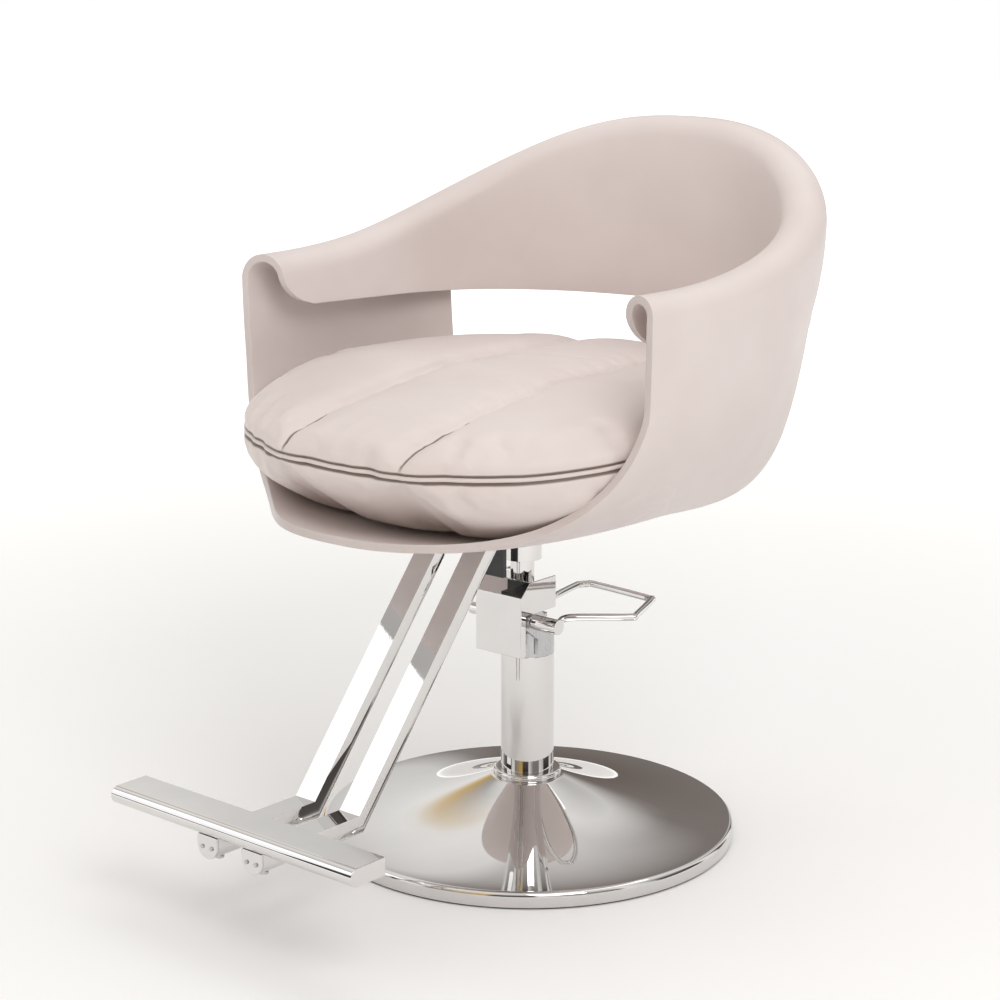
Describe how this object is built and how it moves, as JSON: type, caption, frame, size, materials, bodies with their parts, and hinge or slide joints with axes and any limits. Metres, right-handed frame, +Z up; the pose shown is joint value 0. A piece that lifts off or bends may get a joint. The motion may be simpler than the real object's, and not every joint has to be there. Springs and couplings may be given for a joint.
{
  "type": "styling chair",
  "caption": "Hydraulic salon chair: padded tub seat with rolled arms and back over a round chromed base, pump column with foot pedal, and a sloping footrest.",
  "frame": {"origin": "centre of the round base on the floor, under the pump column", "axes": "+Z up; -Y is the way the sitter faces, so the footrest points along -Y; +X is the sitter's left, the side the pedal's outer arm is on"},
  "size_m": [0.6212, 0.82, 0.846],
  "materials": {
    "chrome": "polished chrome plate",
    "steel": "machined, oiled",
    "black_steel": "satin black paint",
    "rubber": "moulded black rubber",
    "brass": "turned brass",
    "leather": "smooth pale ivory leather over thin padding",
    "padded_leather": "smooth pale ivory leather over soft foam",
    "foam": "moulded padding inside the back band",
    "wood": "plywood"
  },
  "bodies": {
    "base": {"base_plate": "steel", "base_edge_ring": "rubber", "base_cover": "chrome", "base_flange": "steel", "base_bolts": "steel", "column_collar": "chrome", "column_tube": "chrome", "pump_foot_valve": "steel", "pressure_tube": "steel", "pump_head": "steel", "head_screws": "steel", "ram_gland": "brass", "head_cover": "chrome", "plunger_spring": "steel"},
    "lift": {"piston": "steel", "piston_seal": "rubber", "ram_stop_ring": "steel"},
    "seat": {"ram": "chrome", "seat_bracket": "black_steel", "bracket_bolts": "steel", "footrest_bracket": "black_steel", "bracket_screws": "steel", "left_footrest_tube": "chrome", "right_footrest_tube": "chrome", "tube_end_caps": "chrome", "cap_screws": "steel", "foot_bar": "chrome", "foot_bar_screws": "steel", "seat_pan": "leather", "left_side_panel": "leather", "right_side_panel": "leather", "back_band": "leather", "back_core": "foam", "cushion_board": "wood", "cushion": "padded_leather"},
    "pedal": {"pedal_shaft": "chrome", "pedal_boss": "chrome", "boss_grub_screw": "steel", "pedal_eye": "chrome", "shaft_clip": "steel", "pedal_loop": "chrome"},
    "plunger": {"plunger": "steel"}
  },
  "joints": [
    {"name": "lift", "type": "slide", "parent": "base", "child": "lift", "axis": [0, 0, 1], "range_m": [0, 0.15]},
    {"name": "swivel", "type": "hinge", "parent": "lift", "child": "seat", "pos_m": [0, -0.01, 0.3], "axis": [0, 0, 1], "continuous": true},
    {"name": "pedal", "type": "hinge", "parent": "base", "child": "pedal", "pos_m": [0, -0.032, 0.275], "axis": [-1, 0, 0], "range_deg": [0, 20], "stiffness_Nm_per_rad": 4, "springref_deg": -20.05},
    {"name": "plunger", "type": "slide", "parent": "base", "child": "plunger", "axis": [0, 0, -1], "range_m": [0, 0.012], "deforming": ["plunger_spring"]}
  ],
  "couplings": [
    {"joint": "plunger", "follows": "pedal", "m_per_rad": 0.0325}
  ]
}
